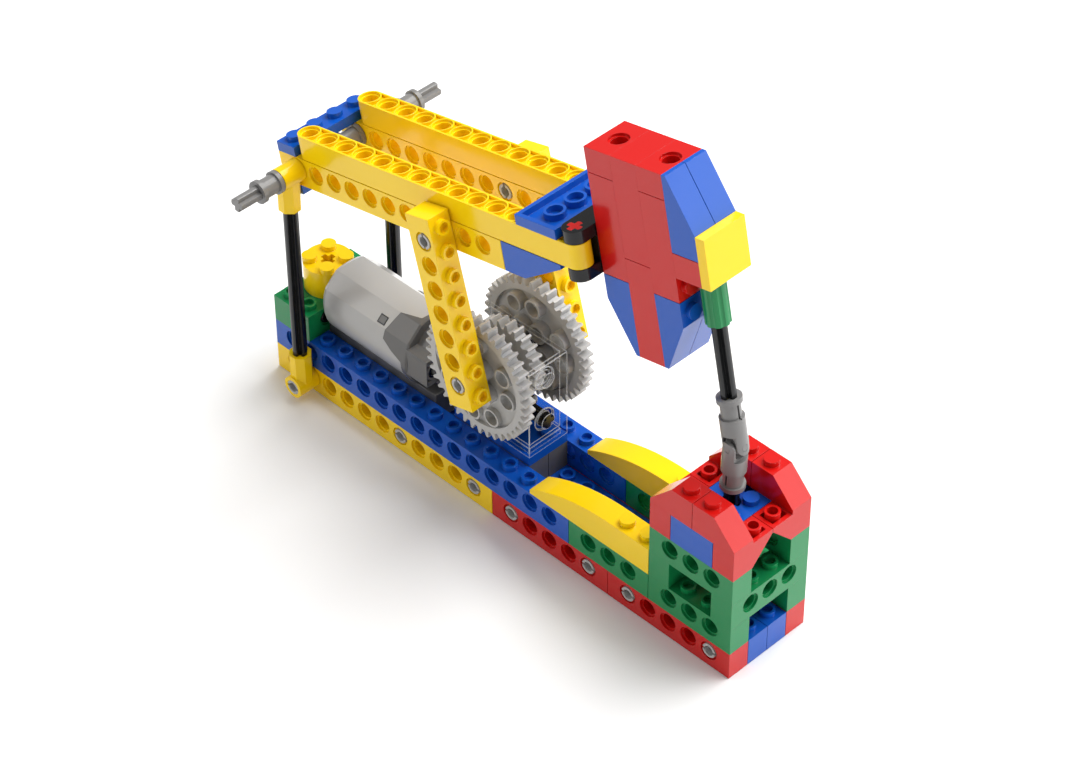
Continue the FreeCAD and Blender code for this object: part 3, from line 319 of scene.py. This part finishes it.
def ring_at(mesh, section, shift, scale=1.0, grow=0.0):
    """One closed ring of section points, mirrored to both sides; shift gives each point's x."""
    ring = []
    outline = section + [(-y, z) for y, z in reversed(section[1:])]
    for i, (y, z) in enumerate(outline):
        length = math.hypot(y, z)
        factor = scale + grow / length
        ring.append(mesh.verts.new((shift(i, y, z), y * factor, axis_z + max(z * factor, -10.3 * MM))))
    return ring


def skin(mesh, rings, cap_first=True, cap_last=True):
    for a, b in zip(rings, rings[1:]):
        for k in range(len(a)):
            mesh.faces.new((a[k], a[(k + 1) % len(a)], b[(k + 1) % len(a)], b[k]))
    if cap_first:
        mesh.faces.new(rings[0][::-1])
    if cap_last:
        mesh.faces.new(rings[-1])


# %% Motor can with its rounded rear end
rear_x = can_low[0]
can = bmesh.new()
ROUNDING = ((0.0, 0.76), (0.25, 0.84), (0.8, 0.91), (1.6, 0.96), (2.6, 1.0))  # mm forward, share of size
rings = [ring_at(can, SECTION, lambda i, y, z, d=d: rear_x + d * MM, s) for d, s in ROUNDING]
rings.append(ring_at(can, SECTION, lambda i, y, z: can_high[0] + 3.0 * MM))
skin(can, rings)
motor_can = keep("motor_can_shell", can, "base", "light_grey", smooth=22.0)
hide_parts("motor_can")

# %% Gear housing with its zigzag rear edge
ZIGZAG = [38.0, 37.6, 30.6, 28.9, 28.9, 32.6, 36.9, 36.9, 36.9, 36.9, 36.9, 36.9]


def zigzag(i, y, z):
    """X of the housing's rear edge at a section point."""
    return rear_x + ZIGZAG[i if i < len(ZIGZAG) else 2 * len(ZIGZAG) - 1 - i] * MM


HAIR, WALL, NOSE = 0.02 * MM, 0.45 * MM, 0.74  # start of the edge, housing's wall, nose's share of size
housing = bmesh.new()
shoulder = front_low[0] + 39.4 * MM
nose_end = front_high[0]
rings = [ring_at(housing, SECTION, zigzag, grow=HAIR),
         ring_at(housing, SECTION, lambda i, y, z: zigzag(i, y, z) + HAIR, grow=WALL),
         ring_at(housing, SECTION, lambda i, y, z: shoulder - 0.6 * MM, grow=WALL),
         ring_at(housing, SECTION, lambda i, y, z: shoulder, grow=0.0),
         ring_at(housing, SECTION, lambda i, y, z: shoulder, scale=NOSE),
         ring_at(housing, SECTION, lambda i, y, z: nose_end - 0.5 * MM, scale=NOSE),
         ring_at(housing, SECTION, lambda i, y, z: nose_end, scale=0.7)]
skin(housing, rings)


# %% Helpers: rounded boxes and tubes
def add_box(mesh, low, high, round_edges=0.35 * MM, segments=2):
    """Add a box with rounded edges to a bmesh."""
    made = bmesh.ops.create_cube(mesh, size=1.0)["verts"]
    size = [b - a for a, b in zip(low, high)]
    centre = [(a + b) / 2 for a, b in zip(low, high)]
    bmesh.ops.transform(mesh, matrix=Matrix.Translation(centre) @ Matrix.Diagonal((*size, 1)), verts=made)
    edges = list({edge for vert in made for edge in vert.link_edges})
    if round_edges:
        bmesh.ops.bevel(mesh, geom=edges, offset=round_edges, segments=segments, affect="EDGES", profile=0.5)


def add_tube(mesh, centre, axis, outer, inner, length, sides=32, rounding=0.15 * MM):
    """Add a tube (or a rod where inner is 0) with eased rims; centre is the middle of its axis."""
    turn = Vector((0, 0, 1)).rotation_difference(Vector(axis)).to_matrix().to_4x4()
    matrix = Matrix.Translation(centre) @ turn
    half = length / 2
    profile = [(outer, -half + rounding), (outer, half - rounding), (outer - rounding, half)]
    if inner:
        profile += [(inner + rounding, half), (inner, half - rounding), (inner, -half + rounding),
                    (inner + rounding, -half)]
    profile.append((outer - rounding, -half))
    loops = []
    for k in range(sides):
        angle = 2 * math.pi * k / sides
        loops.append([mesh.verts.new(matrix @ Vector((r * math.cos(angle), r * math.sin(angle), z)))
                      for r, z in profile])
    for a, b in zip(loops, loops[1:] + loops[:1]):
        for j in range(len(profile) if inner else len(profile) - 1):
            mesh.faces.new((a[j], b[j], b[(j + 1) % len(profile)], a[(j + 1) % len(profile)]))
    if not inner:
        mesh.faces.new([loop[2] for loop in loops])
        mesh.faces.new([loop[3] for loop in reversed(loops)])


# %% Ears, foot and pin sleeves of the housing
ear_y, ear_z = 8.0 * MM, axis_z
ear_start = shoulder - 1.0 * MM
for side in (-1, 1):
    inner, outer = sorted((side * 4.4 * MM, side * 11.2 * MM))
    add_box(housing, (ear_start, inner, ear_z + 3.0 * MM), (nose_end, outer, ear_z + 5.0 * MM))
    add_box(housing, (ear_start, inner, ear_z - 5.0 * MM), (nose_end, outer, ear_z - 3.0 * MM))
    wall = sorted((side * 10.9 * MM, side * 11.3 * MM))
    add_box(housing, (ear_start, wall[0], ear_z - 4.0 * MM), (nose_end, wall[1], ear_z + 4.0 * MM), 0.1 * MM)
    add_tube(housing, (nose_end - 3.9 * MM, side * ear_y, ear_z), (1, 0, 0), 3.2 * MM, 2.45 * MM, 7.8 * MM)
add_tube(housing, (nose_end - 1.5 * MM, 0, ear_z), (1, 0, 0), 3.6 * MM, 2.6 * MM, 2.9 * MM)
foot_side = 7.9 * MM
add_box(housing, (front_low[0], -foot_side, front_low[2] + 1.9 * MM),
        (nose_end, foot_side, axis_z - 10.0 * MM))
motor_front = keep("motor_housing", housing, "base", "dark_grey", smooth=22.0)
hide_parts("motor_front")

# %% [markdown]
# Two little windows sit in the can's upper facets, just behind the housing: a grey plug in a dark
# rim, both a hair proud of the facet.

# %% Windows in the motor can
def window_plugs(size_along, size_across, proud):
    """A thin plug on each upper facet: its size along the motor, across the facet, and its height."""
    plugs = bmesh.new()
    for side in (-1, 1):
        low, high = Vector((0, side * 10.1 * MM, 6.1 * MM)), Vector((0, side * 5.1 * MM, 10.7 * MM))
        up_facet = (high - low).normalized()
        outward = Vector((0, side * abs(up_facet.z), abs(up_facet.y)))
        middle = low.lerp(high, 0.31) + Vector((rear_x + 26.1 * MM, 0, axis_z))
        turn = Matrix((Vector((1, 0, 0)), up_facet, outward)).transposed().to_4x4()
        made = bmesh.ops.create_cube(plugs, size=1.0)["verts"]
        size = Matrix.Diagonal((size_along, size_across, 2 * proud, 1))
        bmesh.ops.transform(plugs, matrix=Matrix.Translation(middle) @ turn @ size, verts=made)
        edges = list({edge for vert in made for edge in vert.link_edges})
        bmesh.ops.bevel(plugs, geom=edges, offset=0.04 * MM, segments=1, affect="EDGES", profile=0.5)
    return plugs


keep("window_rims", window_plugs(3.2 * MM, 2.9 * MM, 0.1 * MM), "base", "black", smooth=22.0)
keep("window_plugs", window_plugs(2.5 * MM, 2.2 * MM, 0.16 * MM), "base", "dark_grey", smooth=22.0)

# %% [markdown]
# Short black pegs fill the housing's front pin sleeves and the cross brick's holes behind the motor.
# Each is a plain tube; the rest of the peg is hidden.

# %% Black pegs
pegs = bmesh.new()
for side in (-1, 1):
    add_tube(pegs, (nose_end - 1.6 * MM, side * ear_y, ear_z), (1, 0, 0), 2.38 * MM, 1.5 * MM, 3.0 * MM)
cross_low, cross_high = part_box("rear_cross_bricks")
for side in (-1, 1):
    add_tube(pegs, (cross_high[0] - 2.4 * MM, side * 8 * MM, cross_low[2] + 5.6 * MM), (1, 0, 0),
             2.38 * MM, 1.5 * MM, 4.6 * MM)
keep("black_pegs", pegs, "base", "black")

# %% [markdown]
# ## Pins under the bricks
# A one-wide brick has a thin solid pin between each two studs on its underside. There are dozens in
# neat rows, so nodes place them: a line of points for the pitch, a second line for the rows, and a
# short cylinder on each point.


# %% Node tree for rows of pins
def pin_rows_tree():
    tree, entry, leave = new_group(
        "pin_rows", "GeometryNodeTree",
        [("Count", "NodeSocketInt", 4), ("Pitch", "NodeSocketFloat", 0.008), ("Rows", "NodeSocketInt", 2),
         ("Row pitch", "NodeSocketFloat", 0.024), ("Start", "NodeSocketVector", None),
         ("Radius", "NodeSocketFloat", 0.0015), ("Depth", "NodeSocketFloat", 0.0019),
         ("Material", "NodeSocketMaterial", None)],
        [("Geometry", "NodeSocketGeometry")])
    step = add_node(tree, "ShaderNodeCombineXYZ", {"X": entry.outputs["Pitch"]})
    line = add_node(tree, "GeometryNodeMeshLine", {"Count": entry.outputs["Count"],
                                                   "Start Location": entry.outputs["Start"],
                                                   "Offset": step.outputs["Vector"]})
    row_step = add_node(tree, "ShaderNodeCombineXYZ", {"Y": entry.outputs["Row pitch"]})
    rows = add_node(tree, "GeometryNodeMeshLine", {"Count": entry.outputs["Rows"],
                                                   "Offset": row_step.outputs["Vector"]})
    spread = add_node(tree, "GeometryNodeInstanceOnPoints", {"Points": rows.outputs["Mesh"],
                                                             "Instance": line.outputs["Mesh"]})
    points = add_node(tree, "GeometryNodeRealizeInstances", {"Geometry": spread.outputs["Instances"]})
    rod = add_node(tree, "GeometryNodeMeshCylinder", {"Vertices": 16, "Radius": entry.outputs["Radius"],
                                                      "Depth": entry.outputs["Depth"]})
    stand = add_node(tree, "GeometryNodeInstanceOnPoints", {"Points": points.outputs["Geometry"],
                                                            "Instance": rod.outputs["Mesh"]})
    solid = add_node(tree, "GeometryNodeRealizeInstances", {"Geometry": stand.outputs["Instances"]})
    coated = add_node(tree, "GeometryNodeSetMaterial", {"Geometry": solid.outputs["Geometry"],
                                                        "Material": entry.outputs["Material"]})
    tree.links.new(coated.outputs["Geometry"], leave.inputs["Geometry"])
    return tree


# %% Pins under the base
pin_rows = pin_rows_tree()
PITCH, SOCKET = 8 * MM, 1.9 * MM


def under_pins(name, colour, first_stud, count, rows_at, row_pitch):
    """Pins of one run of bricks; first_stud counts pitches from the middle of the base."""
    mesh = bake_nodes(pin_rows, {
        "Count": count, "Pitch": PITCH, "Rows": 2, "Row pitch": row_pitch,
        "Start": (first_stud * PITCH, rows_at, SOCKET / 2 + 0.0002), "Radius": 1.45 * MM,
        "Depth": SOCKET - 0.0003, "Material": plastics[colour]})
    keep(name, mesh, "base", colour)


under_pins("pins_rear_rails", "yellow", -11, 11, -12 * MM, 24 * MM)
under_pins("pins_middle_rails", "red", 1, 5, -12 * MM, 24 * MM)
under_pins("pins_front_rails", "red", 7, 5, -12 * MM, 24 * MM)
under_pins("pins_rear_floor", "blue", -11, 7, -4 * MM, 8 * MM)
under_pins("pins_front_floor", "blue", -3, 15, -4 * MM, 8 * MM)

# %% [markdown]
# ## Studio
# The toy stands on a seamless pale floor. One broad light overhead and slightly behind gives bright
# tops and a soft shadow towards the camera; two panels lift the side faces and give them highlights.


# %% Floor and backdrop
def floor():
    mesh = bmesh.new()
    bmesh.ops.create_grid(mesh, x_segments=1, y_segments=1, size=3.0)
    data = bpy.data.meshes.new("floor")
    mesh.to_mesh(data)
    mesh.free()
    plane = bpy.data.objects.new("floor", data)
    plane.location.z = -0.0002
    bpy.context.scene.collection.objects.link(plane)
    material = bpy.data.materials.new("paper")
    material.use_nodes = True
    shader = material.node_tree.nodes["Principled BSDF"]
    shader.inputs["Base Color"].default_value = (0.93, 0.93, 0.93, 1)
    shader.inputs["Roughness"].default_value = 0.85
    data.materials.append(material)


floor()


# %% Lights
def area_light(name, spot, target, size, power):
    lamp = bpy.data.lights.new(name, "AREA")
    lamp.shape = "RECTANGLE"
    lamp.size, lamp.size_y = size
    lamp.energy = power
    holder = bpy.data.objects.new(name, lamp)
    holder.location = spot
    holder.rotation_euler = (Vector(target) - Vector(spot)).to_track_quat("-Z", "Y").to_euler()
    bpy.context.scene.collection.objects.link(holder)


area_light("overhead", (0.15, 0.75, 1.5), (0, 0, 0.05), (1.5, 1.5), 43.0)
area_light("left_panel", (-0.75, -0.9, 0.6), (0, 0, 0.06), (0.5, 0.9), 3.0)
area_light("front_panel", (1.05, 0.62, 0.34), (0, 0, 0.08), (0.7, 0.7), 5.0)
world = bpy.data.worlds.new("studio")
world.use_nodes = True
world.node_tree.nodes["Background"].inputs["Color"].default_value = (1, 1, 1, 1)
world.node_tree.nodes["Background"].inputs["Strength"].default_value = 0.35
bpy.context.scene.world = world
bpy.context.scene.view_settings.view_transform = "Standard"
bpy.context.scene.view_settings.exposure = 0.0

# %% [markdown]
# ## Camera
# A long lens from high on the left looks down the toy towards the well tower.

# %% Camera
camera = bpy.data.objects.new("camera", bpy.data.cameras.new("camera"))
camera.data.lens = 111.47
camera.data.sensor_width = 36.0
camera.data.clip_start = 0.01
camera.location = (0.52514, -0.51283, 0.69028)
azimuth, elevation, roll = (math.radians(v) for v in (45.43, 41.42, -0.43))
back = Vector((math.sin(azimuth) * math.cos(elevation), -math.cos(azimuth) * math.cos(elevation),
               math.sin(elevation)))
right = (-back).cross(Vector((0, 0, 1))).normalized()
upward = right.cross(-back).normalized()
right, upward = (right * math.cos(roll) + upward * math.sin(roll),
                 upward * math.cos(roll) - right * math.sin(roll))
camera.rotation_euler = Matrix((right, upward, back)).transposed().to_euler()
bpy.context.scene.collection.objects.link(camera)
bpy.context.scene.camera = camera
